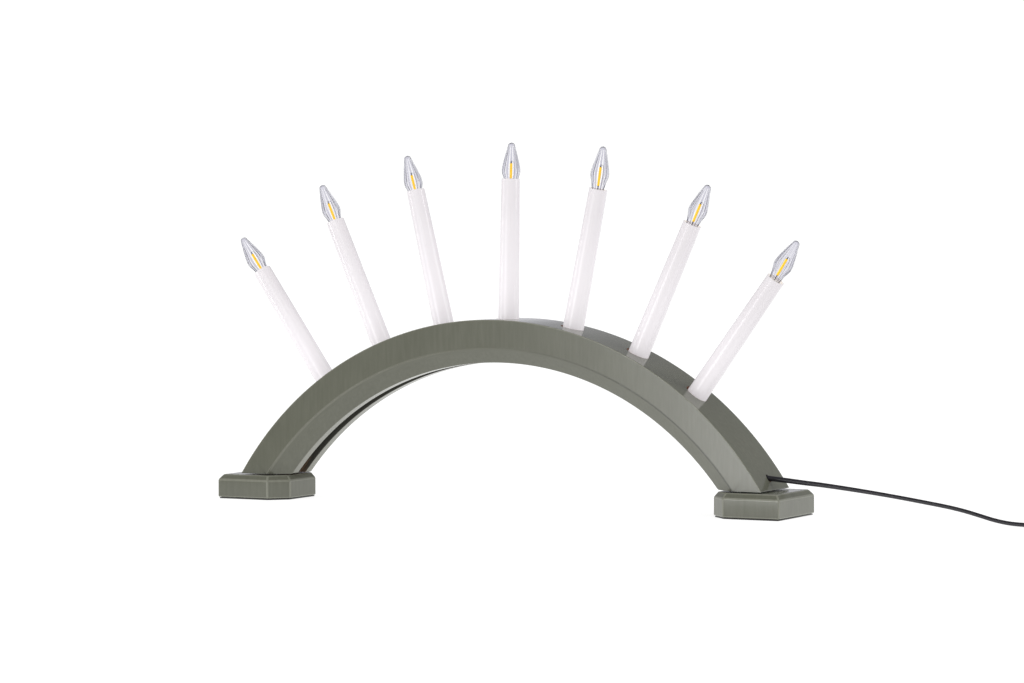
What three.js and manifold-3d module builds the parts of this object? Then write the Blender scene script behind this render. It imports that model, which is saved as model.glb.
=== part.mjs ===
// Electric candle arch: seven candles on a painted wooden bow that stands on two feet.
// Millimetres, +Z up, the table at z = 0, the middle of the bow at x = 0 and y = 0, its front towards -Y.
import * as THREE from 'three';
import { mergeVertices } from 'three/addons/utils/BufferGeometryUtils.js';
import Module from 'manifold-3d';

const wasm = await Module();
wasm.setup();

// Clearance between pieces that touch, and the distance under which two vertices are one
const gap = 0.3;
const sameVertex = 1e-4;

// Bow: outer radius, height of its crown, radial height of its section and its depth from front to back
const archRadius = 280;
const archRise = 152;
const archBand = 35;
const archDepth = 54;
const slopeBand = archBand * 0.34;
const slopeInset = archDepth * 0.213;
const easedEdge = 0.8;
const grooveDepth = archBand * 0.34;
const grooveWidth = archDepth * 0.26;
const archFacets = 120;
const endRoundInner = 4;
const endRoundOuter = 2.5;
const endRoundSteps = 3;
const archCentre = archRise - archRadius;
const innerRadius = archRadius - archBand;

// Feet and their pads
const padHeight = 1;
const padInset = 1;
const footTop = 20.2;
const footDepth = 69;
const footCorner = 14;
const footSlope = 3.5;
const footSlopeHeight = 4.3;
const footMarginOut = 17.7;
const footMarginIn = 1.8;
const archEnd = footTop + gap;
const archEndOuter = Math.sqrt(archRadius ** 2 - (archEnd - archCentre) ** 2);
const archEndInner = Math.sqrt(innerRadius ** 2 - (archEnd - archCentre) ** 2);
const footOuter = archEndOuter + footMarginOut;
const footInner = archEndInner - footMarginIn;

// Wood screws that hold the bow on its feet
const screwRadius = 1.8;
const screwHeadRadius = 4;
const screwHeadHeight = 2.6;
const screwPoint = 4;
const screwSunk = 0.2;
const screwLength = 39;
const screwStart = padHeight + gap + screwSunk;
const screwAcross = archEndInner + 0.4 * (archEndOuter - archEndInner);
const screwApart = archDepth * 0.52;

// Bulb: widest radius of the glass, then the heights of cap, neck, shoulder and flame, from the bottom up
const glassRadius = 7.9;
const glassWall = 0.8;
const capHeight = 9.7;
const neckHeight = 7.4;
const shoulderHeight = 6.4;
const flameHeight = 22.4;
const capRadius = 4.7;
const collarHeight = 1.1;
const neckRadius = capRadius - gap;
const glassBottom = capHeight + gap;
const rimHeight = glassBottom + neckHeight;
const widestHeight = rimHeight + shoulderHeight;
const bulbLength = widestHeight + flameHeight;
const flutes = 14;
const fluteSteps = 3;
const fluteDepth = 0.6;
const fluteRows = 8;
const cavityRows = 5;
const cavitySides = 12;

// Filament: a coated stick with a lead at each end and one lead back down beside it
const stickRadius = 0.9;
const leadRadius = 0.35;
const stickFoot = 4.5;
const stickRise = 5.6;
const leadRise = 2.3;
const stickBottom = glassBottom + stickFoot;
const stickTop = widestHeight + stickRise;
const leadTop = stickTop + leadRise;
const leadAside = glassRadius * 0.36;
const leadSides = 5;
const leadSteps = 6;

// Sleeve of a candle, standing in its hole in the bow
const sleeveHeight = 113.4;
const sleeveTopRadius = 7.4;
const sleeveFootRadius = sleeveTopRadius * 1.15;
const sleeveWall = 0.7;
const sleeveBore = sleeveTopRadius - sleeveWall;
const sleeveStraight = sleeveHeight * 0.4;
const sleeveSunk = archBand * 0.43;
const sleeveSides = 20;
const wireHoleRadius = 3;

// Lampholder and its sprung contact, measured from the end of the bulb's cap
const holderRadius = sleeveBore - gap;
const holderPlay = 0.05;
const holderBore = capRadius + gap + holderPlay;
const holderTop = capHeight - collarHeight - gap;
const contactHead = 1;
const contactTail = 2.4;
const holderBase = 3;
const holderFloor = -(contactHead + 2 * gap);
const holderBottom = holderFloor - holderBase;
const holderMiddle = (holderBottom + holderTop) / 2;
const holderReach = holderTop - holderMiddle;
const contactRadius = 2.2;
const pinRadius = 1;
const pinPlay = 0.4;
const pinHole = pinRadius + pinPlay;
const contactEnd = holderBottom - contactTail;
const smallSides = 12;
const drillSides = 8;

// Row of candles, in degrees round the bow: its pitch, and how far the whole row is off the middle.
// From left to right: place counted from the middle, lean of the sleeve off the radius and tilt of the bulb
// off the sleeve in degrees, and how far the lampholder and bulb sit above their deepest place in the sleeve
const candlePitch = 12.35;
const candleRowShift = 0.3;
const candles = [
  { place: -3.01, lean: 2.5, tilt: -0.8, lift: 4.5 },
  { place: -2, lean: 0.9, tilt: 0, lift: 3.6 },
  { place: -1, lean: -1.2, tilt: -1.8, lift: 0.6 },
  { place: 0, lean: 0.8, tilt: 0.5, lift: 0.2 },
  { place: 0.98, lean: -0.9, tilt: -3, lift: 5.4 },
  { place: 2, lean: -0.5, tilt: 0.3, lift: 4.8 },
  { place: 3, lean: -1, tilt: -3.5, lift: 6.1 },
];

// Wiring in the groove
const loomRadius = 1.5;
const branchRadius = 1.1;
const loomArc = innerRadius + grooveDepth / 2;
const loomOverrun = 4;
const loomSides = 6;
const loomSteps = 30;

// Cord: it leaves the bow through a drilled hole above the right foot, with a small fall
const cordDiameter = 3.2;
const cordRadius = cordDiameter / 2;
const cordPlay = 0.5;
const cordHoleRadius = cordRadius + cordPlay;
const cordFall = 2.9;
const cordRise = 10;
const cordExit = bowPoint(archRadius, footTop + cordRise);
const cordInlet = bowPoint(loomArc, cordExit.z + cordFall);
const cordAxis = cordExit.clone().sub(cordInlet).normalize();
const cordSides = 8;
const cordSteps = 44;

// Route of the free cord: distance to the right of its exit, and height above the table
const cordRoute = [
  [16, 28.9], [30.5, 27.6], [45, 26.4], [66.5, 24.2], [88, 21.7], [109, 19], [130, 16], [148.5, 13.2],
  [162.5, 10.5], [175, 7.4], [186.5, 4.5], [198.5, 2.5], [212.5, 1.8], [226.5, 2.2],
];

// Coil of the rest of the cord: layers of turns that run in, climb, and run out again
const coilReach = 245;
const coilMiddle = cordDiameter * 6;
const coilLayers = 4;
const coilTurns = 3;
const coilPlay = 0.55;
const coilStep = cordDiameter + coilPlay;
const coilOuter = coilMiddle + coilStep * coilTurns / 2;
const coilInner = coilMiddle - coilStep * coilTurns / 2;
const tieThickness = 0.8;
const tieWidth = 5;
const coilHeight = tieThickness + gap + cordRadius;
const coilStart = new THREE.Vector3(cordExit.x + coilReach, 0, coilHeight);
const loopSteps = 24;
const loopSides = 6;
const tailStraight = 15;
const tailFall = 36;

// Two-pin plug, lying flat beside the coil
const plugLength = 44;
const plugWidth = 26;
const plugHeight = 13.7;
const plugStraight = 13;
const plugNose = 10;
const plugEdge = 1.5;
const bootLength = 20;
const bootRadius = 2.9;
const pinLength = 19;
const plugPinRadius = 2;
const plugPinApart = 18.6;
const plugStart = coilStart.x + cordDiameter + tailStraight + tailFall + cordDiameter + gap;

const degrees = Math.PI / 180;

// Point on the right half of a circle of the bow, at a height above the table
function bowPoint(radius, height) {
  return new THREE.Vector3(Math.sqrt(radius ** 2 - (height - archCentre) ** 2), 0, height);
}

function solid(geometry) {
  const bare = new THREE.BufferGeometry();
  bare.setAttribute('position', geometry.attributes.position.clone());
  bare.setIndex(geometry.index);
  const merged = mergeVertices(bare, sameVertex);
  const corners = merged.index.array;
  const kept = [];
  for (let i = 0; i < corners.length; i += 3) {
    const [a, b, c] = corners.slice(i, i + 3);
    if (a !== b && b !== c && c !== a) kept.push(a, b, c);
  }
  return new wasm.Manifold(new wasm.Mesh({
    numProp: 3,
    vertProperties: new Float32Array(merged.attributes.position.array),
    triVerts: new Uint32Array(kept),
  }));
}

function geometryOf(manifold) {
  const mesh = manifold.getMesh();
  const geometry = new THREE.BufferGeometry();
  geometry.setAttribute('position', new THREE.BufferAttribute(mesh.vertProperties, 3));
  geometry.setIndex(new THREE.BufferAttribute(mesh.triVerts, 1));
  return geometry;
}

// A piece turned about Z; its profile is [radius, height] pairs, up the outside and down the inside
function turned(profile, sides) {
  const points = profile.map(([radius, height]) => new THREE.Vector2(radius, height));
  return new THREE.LatheGeometry(points, sides).rotateX(Math.PI / 2);
}

// A round bar along Z between two heights
function bar(radius, from, to, sides) {
  const length = to - from;
  const geometry = new THREE.CylinderGeometry(radius, radius, length, sides);
  return geometry.rotateX(Math.PI / 2).translate(0, 0, from + length / 2);
}

function tube(path, radius, sides, steps) {
  const section = new THREE.Shape();
  for (let i = 0; i < sides; i += 1) {
    const angle = (2 * Math.PI * i) / sides;
    const x = radius * Math.cos(angle);
    const y = radius * Math.sin(angle);
    if (i === 0) section.moveTo(x, y);
    else section.lineTo(x, y);
  }
  return new THREE.ExtrudeGeometry(section, { extrudePath: path, steps });
}

function finish(colour, roughness, metalness) {
  return new THREE.MeshStandardMaterial({ color: colour, roughness, metalness });
}

const paint = () => finish(0x6a6c63, 0.35, 0);
const whitePlastic = () => finish(0xf1eeee, 0.35, 0);
const nickel = () => finish(0xb9b4a8, 0.3, 0.9);
const clearGlass = () => finish(0xe6e9ef, 0.05, 0);
const phosphor = () => finish(0xf2c230, 0.5, 0);
const blackPlastic = () => finish(0x161616, 0.45, 0);
const darkFelt = () => finish(0x2b2b29, 0.95, 0);
const steel = () => finish(0x9a9a98, 0.4, 0.9);

function piece(name, geometry, material) {
  const mesh = new THREE.Mesh(geometry, material);
  mesh.name = name;
  return mesh;
}

function candleAngle(place) {
  return (candlePitch * place + candleRowShift) * degrees;
}

// Place of a candle: its axis is local Z, and local z = 0 lies on the outer face of the bow
function candleFrame({ place, lean }) {
  const angle = candleAngle(place);
  const frame = new THREE.Matrix4().makeRotationY(angle + lean * degrees);
  const x = archRadius * Math.sin(angle);
  const z = archCentre + archRadius * Math.cos(angle);
  return frame.setPosition(x, 0, z);
}

// Height of the end of a bulb's cap above the outer face
function bulbSeat({ lift }) {
  return sleeveHeight - rimHeight + lift;
}

// Place of a lampholder and its bulb in the sleeve: they tilt about the middle of the lampholder
function bulbFrame(spec) {
  const place = new THREE.Matrix4().makeRotationY(spec.tilt * degrees);
  place.setPosition(0, 0, bulbSeat(spec) + holderMiddle);
  return place.multiply(new THREE.Matrix4().makeTranslation(0, 0, -holderMiddle));
}

// Half sections of the bow are alike: flat band, band that slopes in, lip and wiring groove
function bowRing() {
  const half = archDepth / 2;
  const crease = innerRadius + slopeBand;
  const lip = half - slopeInset;
  const roof = innerRadius + grooveDepth;
  const groove = grooveWidth / 2;
  const back = [
    [archRadius, half - easedEdge],
    [archRadius - easedEdge, half],
    [crease, half],
    [innerRadius, lip],
    [innerRadius, groove],
    [roof, groove],
  ];
  const front = back.map(([radius, y]) => [radius, -y]).reverse();
  const closed = [...back, ...front, back[0]];
  const points = closed.map(([radius, y]) => new THREE.Vector2(radius, y));
  return new THREE.LatheGeometry(points, archFacets).translate(0, 0, archCentre);
}

function candleHole(candle) {
  const wide = bar(sleeveFootRadius + gap, -sleeveSunk - gap, archBand, sleeveSides);
  const narrow = bar(wireHoleRadius, -archBand, 0, drillSides);
  const frame = candleFrame(candle);
  return solid(wide.applyMatrix4(frame)).add(solid(narrow.applyMatrix4(frame)));
}

// A piece made along Z, laid along the drilled hole of the cord with its zero at the loom
function alongCordHole(geometry) {
  const turn = new THREE.Quaternion().setFromUnitVectors(new THREE.Vector3(0, 0, 1), cordAxis);
  return geometry.applyQuaternion(turn).translate(cordInlet.x, cordInlet.y, cordInlet.z);
}

function screwPlaces() {
  const places = [];
  for (const side of [-1, 1]) {
    for (const end of [-1, 1]) {
      places.push({ side, end, x: side * screwAcross, y: end * screwApart / 2 });
    }
  }
  return places;
}

// A wedge across the whole depth that rounds off one corner at an end of the bow; inward is the way along the
// end face into the wood
function endRounding(side, radius, round, inward) {
  const corner = bowPoint(radius, archEnd);
  const up = new THREE.Vector2(archCentre - archEnd, corner.x).setLength(round);
  const outline = new THREE.Shape();
  outline.moveTo(corner.x + up.x, archEnd + up.y);
  outline.quadraticCurveTo(corner.x, archEnd, corner.x + inward * round, archEnd);
  outline.lineTo(corner.x - inward * round, archEnd - round);
  const extent = { depth: 2 * archDepth, bevelEnabled: false, curveSegments: endRoundSteps };
  const wedge = new THREE.ExtrudeGeometry(outline, extent);
  wedge.rotateX(Math.PI / 2).translate(0, archDepth, 0);
  return side < 0 ? wedge.rotateZ(Math.PI) : wedge;
}

function arch() {
  const span = 2 * archRadius;
  const keep = new THREE.BoxGeometry(span, span, span).translate(0, 0, archEnd + span / 2);
  let bow = solid(bowRing()).intersect(solid(keep));
  for (const side of [-1, 1]) {
    bow = bow.subtract(solid(endRounding(side, innerRadius, endRoundInner, 1)));
    bow = bow.subtract(solid(endRounding(side, archRadius, endRoundOuter, -1)));
  }
  for (const candle of candles) bow = bow.subtract(candleHole(candle));
  bow = bow.subtract(solid(alongCordHole(bar(cordHoleRadius, 0, 2 * archBand, smallSides))));
  for (const { x, y } of screwPlaces()) {
    const pilot = bar(screwRadius + 2 * gap, 0, screwStart + screwLength + gap, drillSides);
    bow = bow.subtract(solid(pilot.translate(x, y, 0)));
  }
  return piece('arch', geometryOf(bow), paint());
}

// Plan of a foot, drawn in by an inset: square outer end, inner corners cut at 45 degrees
function footPlan(side, inset) {
  const outer = side * (footOuter - inset);
  const inner = side * (footInner + inset);
  const half = footDepth / 2 - inset;
  const cut = footCorner - inset * (2 - Math.SQRT2);
  const shoulder = inner + side * cut;
  const plan = new THREE.Shape();
  plan.moveTo(outer, -half);
  plan.lineTo(outer, half);
  plan.lineTo(shoulder, half);
  plan.lineTo(inner, half - cut);
  plan.lineTo(inner, cut - half);
  plan.lineTo(shoulder, -half);
  return plan;
}

function foot(name, side) {
  const bottom = padHeight + gap;
  const straight = footTop - bottom - footSlopeHeight;
  const block = new THREE.ExtrudeGeometry(footPlan(side, 0), {
    depth: straight,
    bevelThickness: footSlopeHeight,
    bevelSize: footSlope,
    bevelOffset: -footSlope,
    bevelSegments: 1,
  });
  const keep = new THREE.BoxGeometry(4 * footOuter, 2 * footDepth, footTop).translate(0, 0, footTop / 2);
  let shape = solid(block).intersect(solid(keep)).translate(0, 0, bottom);
  for (const place of screwPlaces().filter((spot) => spot.side === side)) {
    shape = shape.subtract(solid(screwHole().translate(place.x, place.y, screwStart)));
  }
  return piece(name, geometryOf(shape), paint());
}

function screwHole() {
  const head = screwHeadRadius + 2 * gap;
  const shank = screwRadius + 2 * gap;
  return turned([[0, -footTop], [head, -footTop], [head, gap], [shank, screwHeadHeight], [shank, screwLength],
    [0, screwLength]], drillSides);
}

function screw({ side, end, x, y }) {
  const name = `${side < 0 ? 'left' : 'right'}_foot_screw_${end < 0 ? 'front' : 'back'}`;
  const shape = turned([[0, 0], [screwHeadRadius, 0], [screwRadius, screwHeadHeight - gap],
    [screwRadius, screwLength - screwPoint], [0, screwLength]], drillSides);
  return piece(name, shape.translate(x, y, screwStart), steel());
}

function pad(name, side) {
  const flat = { depth: padHeight, bevelEnabled: false };
  const shape = new THREE.ExtrudeGeometry(footPlan(side, padInset), flat);
  return piece(name, shape, darkFelt());
}

// The sleeve tapers outside; its bore is straight at the top, where the lampholder sits
function sleeve(number) {
  const footBore = sleeveFootRadius - sleeveWall;
  const profile = [
    [footBore, -sleeveSunk],
    [sleeveFootRadius, -sleeveSunk],
    [sleeveFootRadius, 0],
    [sleeveTopRadius, sleeveHeight - gap],
    [sleeveTopRadius - gap, sleeveHeight],
    [sleeveBore, sleeveHeight],
    [sleeveBore, sleeveHeight - sleeveStraight],
    [footBore, 0],
    [footBore, -sleeveSunk],
  ];
  return piece(`candle_sleeve_${number}`, turned(profile, sleeveSides), whitePlastic());
}

// The more a lampholder tilts, the slimmer it is, so that it stays inside the bore of its sleeve
function lampholder(number, tilt) {
  const outside = holderRadius - holderReach * Math.sin(Math.abs(tilt) * degrees);
  const profile = [
    [pinHole, holderBottom],
    [outside, holderBottom],
    [outside, holderTop],
    [holderBore, holderTop],
    [holderBore, holderFloor],
    [pinHole, holderFloor],
    [pinHole, holderBottom],
  ];
  return piece(`lampholder_${number}`, turned(profile, smallSides), whitePlastic());
}

function centreContact(number) {
  const under = holderFloor + gap;
  const profile = [[0, contactEnd], [pinRadius, contactEnd], [pinRadius, under], [contactRadius, under],
    [contactRadius, -gap], [0, -gap]];
  return piece(`centre_contact_${number}`, turned(profile, drillSides), nickel());
}

// Cap: contact, sloped insulator, plain shell and a collar that holds the glass
function bulbCap(number) {
  const shell = capRadius - gap;
  const profile = [
    [0, 0],
    [contactRadius, 0],
    [shell * 0.85, capHeight * 0.17],
    [shell, capHeight * 0.24],
    [shell, capHeight - collarHeight],
    [capRadius, capHeight - collarHeight],
    [capRadius, capHeight],
    [0, capHeight],
  ];
  return piece(`bulb_cap_${number}`, turned(profile, smallSides), nickel());
}

// Outline of the glass from neck to tip, as a smooth curve through its few turning points
function glassOutline() {
  const rimRadius = sleeveBore - 2 * gap;
  return new THREE.SplineCurve([
    new THREE.Vector2(neckRadius, glassBottom),
    new THREE.Vector2(rimRadius, rimHeight),
    new THREE.Vector2(glassRadius, widestHeight),
    new THREE.Vector2(glassRadius * 0.74, widestHeight + flameHeight * 0.45),
    new THREE.Vector2(glassRadius * 0.39, widestHeight + flameHeight * 0.87),
    new THREE.Vector2(glassRadius * 0.26, widestHeight + flameHeight * 0.96),
    new THREE.Vector2(0, bulbLength),
  ]);
}

// Flutes are deepest at half height and run out at the neck and at the tip
function flutedGlass() {
  const rows = glassOutline().getPoints(fluteRows);
  const profile = [[0, glassBottom], ...rows.map(({ x, y }) => [Math.max(x, 0), y])];
  const geometry = turned(profile, flutes * fluteSteps);
  const position = geometry.attributes.position;
  for (let i = 0; i < position.count; i += 1) {
    const radius = Math.hypot(position.getX(i), position.getY(i));
    if (radius < sameVertex) continue;
    const angle = Math.atan2(position.getX(i), position.getY(i));
    const height = (position.getZ(i) - glassBottom) / (bulbLength - glassBottom);
    const hollow = 0.5 - 0.5 * Math.cos(flutes * angle);
    const scale = 1 - (fluteDepth * hollow * Math.sin(Math.PI * height)) / radius;
    position.setXY(i, position.getX(i) * scale, position.getY(i) * scale);
  }
  return geometry;
}

function glassCavity() {
  const inset = glassWall + fluteDepth;
  const rows = glassOutline().getPoints(cavityRows).slice(0, -1);
  const profile = rows.map(({ x, y }) => [x - inset, y]);
  const top = bulbLength - 4 * inset;
  return turned([[0, 0], [profile[0][0], 0], ...profile.filter(([, y]) => y < top), [0, top]], cavitySides);
}

const bulbGlassGeometry = geometryOf(solid(flutedGlass()).subtract(solid(glassCavity())));

function bulbGlass(number) {
  return piece(`bulb_glass_${number}`, bulbGlassGeometry.clone(), clearGlass());
}

function filamentGeometry() {
  const stick = turned([[0, glassBottom], [leadRadius, glassBottom], [leadRadius, stickBottom],
    [stickRadius, stickBottom], [stickRadius, stickTop], [leadRadius, stickTop], [leadRadius, leadTop],
    [0, leadTop]], loomSides);
  const path = new THREE.CatmullRomCurve3([
    new THREE.Vector3(0, 0, leadTop - leadRadius),
    new THREE.Vector3(leadAside * 0.8, 0, stickTop),
    new THREE.Vector3(leadAside, 0, (stickTop + stickBottom) / 2),
    new THREE.Vector3(leadAside * 0.9, 0, stickBottom),
    new THREE.Vector3(leadAside * 0.8, 0, glassBottom),
  ]);
  return geometryOf(solid(stick).add(solid(tube(path, leadRadius, leadSides, leadSteps))));
}

const bulbFilamentGeometry = filamentGeometry();

function bulbFilament(number) {
  return piece(`bulb_filament_${number}`, bulbFilamentGeometry.clone(), phosphor());
}

function candle(spec, number) {
  const group = new THREE.Group();
  group.applyMatrix4(candleFrame(spec));
  const bulb = new THREE.Group();
  bulb.applyMatrix4(bulbFrame(spec));
  bulb.add(lampholder(number, spec.tilt), centreContact(number));
  bulb.add(bulbCap(number), bulbGlass(number), bulbFilament(number));
  group.add(sleeve(number), bulb);
  return group;
}

// One run along the groove, a branch up each candle, and a short end that meets the cord
function wiringLoom() {
  const first = candleAngle(candles[0].place) - loomOverrun / loomArc;
  const last = Math.atan2(cordInlet.x, cordInlet.z - archCentre);
  const points = [];
  for (let i = 0; i <= loomSteps; i += 1) {
    const angle = first + ((last - first) * i) / loomSteps;
    const x = loomArc * Math.sin(angle);
    points.push(new THREE.Vector3(x, 0, archCentre + loomArc * Math.cos(angle)));
  }
  const run = new THREE.CatmullRomCurve3(points);
  let loom = solid(tube(run, loomRadius, loomSides, loomSteps));
  for (const spec of candles) {
    const top = bulbSeat(spec) + contactEnd - gap;
    const branch = bar(branchRadius, loomArc - archRadius, top, loomSides);
    loom = loom.add(solid(branch.applyMatrix4(candleFrame(spec))));
  }
  loom = loom.add(solid(alongCordHole(bar(cordRadius, -loomRadius, cordDiameter, cordSides))));
  return piece('wiring_loom', geometryOf(loom), blackPlastic());
}

function cordFree() {
  const points = [
    cordInlet.clone().addScaledVector(cordAxis, cordDiameter + gap),
    cordInlet.clone().addScaledVector(cordAxis, 2 * cordDiameter + gap),
    cordExit,
    ...cordRoute.map(([reach, height]) => new THREE.Vector3(cordExit.x + reach, 0, height)),
    new THREE.Vector3(coilStart.x - cordDiameter, 0, coilStart.z),
    new THREE.Vector3(coilStart.x - gap, 0, coilStart.z),
  ];
  const path = new THREE.CatmullRomCurve3(points);
  console.log(`free length of the cord: ${path.getLength().toFixed(0)} mm`);
  return piece('cord_free', tube(path, cordRadius, cordSides, cordSteps), blackPlastic());
}

// Path of the coiled cord: lead in, turns that reverse at the inside and outside, and a tail down to the plug
class CoilPath extends THREE.Curve {
  constructor() {
    super();
    this.turnLength = 2 * Math.PI * coilMiddle;
    this.turns = coilLayers * coilTurns;
    this.coiled = this.turns * this.turnLength;
    this.lead = cordDiameter;
    this.tail = tailStraight + tailFall + cordDiameter;
    this.total = this.lead + this.coiled + this.tail;
    this.arcLengthDivisions = 8 * loopSteps * this.turns;
  }

  getPoint(share, target = new THREE.Vector3()) {
    const run = share * this.total;
    const start = coilStart;
    if (run < this.lead) return target.set(start.x + run, start.y, start.z);
    const x = start.x + this.lead;
    if (run < this.lead + this.coiled) return this.turnPoint((run - this.lead) / this.turnLength, x, target);
    const along = run - this.lead - this.coiled;
    const fall = THREE.MathUtils.clamp((along - tailStraight) / tailFall, 0, 1);
    const high = coilHeight + (coilLayers - 1) * coilStep;
    const eased = 0.5 - 0.5 * Math.cos(Math.PI * fall);
    return target.set(x + along, start.y, high + (plugHeight / 2 - high) * eased);
  }

  turnPoint(turn, x, target) {
    const nearest = THREE.MathUtils.clamp(Math.round(turn / coilTurns), 1, coilLayers - 1);
    const climb = THREE.MathUtils.clamp(2 * (turn - nearest * coilTurns) + 0.5, 0, 1);
    const layer = nearest - 1 + THREE.MathUtils.smoothstep(climb, 0, 1);
    const phase = turn % (2 * coilTurns);
    const inward = phase < coilTurns ? phase : 2 * coilTurns - phase;
    const radius = coilOuter - coilStep * inward;
    const angle = 2 * Math.PI * turn - Math.PI / 2;
    const y = coilStart.y + coilOuter + radius * Math.sin(angle);
    return target.set(x + radius * Math.cos(angle), y, coilHeight + layer * coilStep);
  }
}

function leastGap(path) {
  const points = path.getPoints(2 * loopSteps * path.turns);
  const reach = loopSteps;
  let least = Infinity;
  for (let i = 0; i < points.length; i += 1) {
    for (const other of points.slice(i + reach)) least = Math.min(least, points[i].distanceTo(other));
  }
  return least - cordDiameter;
}

function cordCoil() {
  const path = new CoilPath();
  const steps = Math.round((loopSteps * path.total) / path.turnLength);
  console.log(`least gap between turns of the coil: ${leastGap(path).toFixed(2)} mm`);
  console.log(`coiled length of the cord: ${path.getLength().toFixed(0)} mm`);
  return piece('cord_coil', tube(path, cordRadius, loopSides, steps), blackPlastic());
}

// A band round the coiled cord on the side away from its ends
function cordTie() {
  const side = gap + cordRadius + tieThickness;
  const sag = coilInner - Math.sqrt(coilInner ** 2 - (tieWidth / 2) ** 2);
  const inner = coilInner - side - sag;
  const outer = coilOuter + side;
  const top = coilHeight + (coilLayers - 1) * coilStep + side;
  const band = new THREE.Shape([
    new THREE.Vector2(inner, 0),
    new THREE.Vector2(outer, 0),
    new THREE.Vector2(outer, top),
    new THREE.Vector2(inner, top),
  ]);
  band.holes.push(new THREE.Path([
    new THREE.Vector2(inner + tieThickness, tieThickness),
    new THREE.Vector2(inner + tieThickness, top - tieThickness),
    new THREE.Vector2(outer - tieThickness, top - tieThickness),
    new THREE.Vector2(outer - tieThickness, tieThickness),
  ]));
  const shape = new THREE.ExtrudeGeometry(band, { depth: tieWidth, bevelEnabled: false });
  const place = new THREE.Matrix4().makeBasis(
    new THREE.Vector3(0, 1, 0),
    new THREE.Vector3(0, 0, 1),
    new THREE.Vector3(1, 0, 0),
  );
  const x = coilStart.x + cordDiameter - tieWidth / 2;
  shape.applyMatrix4(place.setPosition(x, coilStart.y + coilOuter, 0));
  return piece('cord_tie', shape, blackPlastic());
}

// Flat plug body that narrows to the cord, with a short boot
function plugBody() {
  const half = plugWidth / 2;
  const back = plugStart + bootLength;
  const front = back + plugLength - bootLength;
  const plan = new THREE.Shape([
    new THREE.Vector2(back, -plugNose / 2),
    new THREE.Vector2(front - plugStraight, -half),
    new THREE.Vector2(front, -half),
    new THREE.Vector2(front, half),
    new THREE.Vector2(front - plugStraight, half),
    new THREE.Vector2(back, plugNose / 2),
  ]);
  const body = new THREE.ExtrudeGeometry(plan, {
    depth: plugHeight - 2 * plugEdge,
    bevelThickness: plugEdge,
    bevelSize: plugEdge,
    bevelOffset: -plugEdge,
    bevelSegments: 1,
  }).translate(0, 0, plugEdge);
  const bootEnd = bootLength + plugEdge;
  const boot = turned([[0, 0], [bootRadius, 0], [plugNose * 0.42, bootEnd], [0, bootEnd]], drillSides);
  boot.rotateY(Math.PI / 2).translate(plugStart, 0, plugHeight / 2);
  return piece('plug_body', geometryOf(solid(body).add(solid(boot))), blackPlastic());
}

function plugPin(name, side) {
  const profile = [[0, 0], [plugPinRadius, 0], [plugPinRadius, pinLength - plugPinRadius],
    [plugPinRadius / 2, pinLength], [0, pinLength]];
  const shape = turned(profile, smallSides).rotateY(Math.PI / 2);
  shape.translate(plugStart + plugLength + gap, side * plugPinApart / 2, plugHeight / 2);
  return piece(name, shape, steel());
}

const candleArch = new THREE.Group();
candleArch.add(arch(), foot('left_foot', -1), foot('right_foot', 1));
candleArch.add(pad('left_pad', -1), pad('right_pad', 1));
for (const place of screwPlaces()) candleArch.add(screw(place));
candles.forEach((spec, index) => candleArch.add(candle(spec, index + 1)));
candleArch.add(wiringLoom(), cordFree(), cordCoil(), cordTie(), plugBody());
candleArch.add(plugPin('plug_pin_front', -1), plugPin('plug_pin_back', 1));

export default candleArch;
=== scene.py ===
import math

import bpy
from mathutils import Matrix, Vector


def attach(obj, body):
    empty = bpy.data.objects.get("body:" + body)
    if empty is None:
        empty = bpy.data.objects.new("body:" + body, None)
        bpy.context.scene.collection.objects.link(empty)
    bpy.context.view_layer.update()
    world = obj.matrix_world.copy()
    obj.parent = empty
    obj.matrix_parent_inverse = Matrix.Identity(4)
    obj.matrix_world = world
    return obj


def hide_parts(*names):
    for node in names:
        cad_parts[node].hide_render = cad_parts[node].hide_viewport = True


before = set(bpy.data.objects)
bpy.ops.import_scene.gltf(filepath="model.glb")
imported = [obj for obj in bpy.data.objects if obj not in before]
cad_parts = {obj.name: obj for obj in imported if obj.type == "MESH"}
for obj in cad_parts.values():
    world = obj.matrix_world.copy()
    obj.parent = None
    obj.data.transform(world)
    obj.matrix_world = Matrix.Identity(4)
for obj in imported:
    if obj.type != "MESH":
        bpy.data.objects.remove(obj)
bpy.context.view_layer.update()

# Clearance between pieces, how near two points count as one, and how near a face a point counts as on it
gap = 0.0003
same_point = 0.000001
on_face = 0.0001

# Bow: outer radius, height of its crown, radial height of its section and its depth from front to back
bow_radius = 0.280
bow_rise = 0.152
bow_band = 0.035
bow_depth = 0.054
slope_band = bow_band * 0.34
slope_inset = bow_depth * 0.213
groove_depth = bow_band * 0.34
groove_width = bow_depth * 0.217
bow_centre = bow_rise - bow_radius
inner_radius = bow_radius - bow_band
bow_sweep = math.radians(120)
bow_steps = 120
bow_soft_edge = 0.0007
lip_soft_edge = 0.0007
edge_steps = 4
crease_soft_edge = 0.0002
crease_step = 0.0004
crease_above = 0.0012
crease_below = 0.0028
crease_spread = 1.0125
end_round_inner_left = 0.0015
end_round_inner_right = 0.004
end_round_outer = 0.0025
end_round_steps = 8
end_lift = 0.0006

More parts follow.
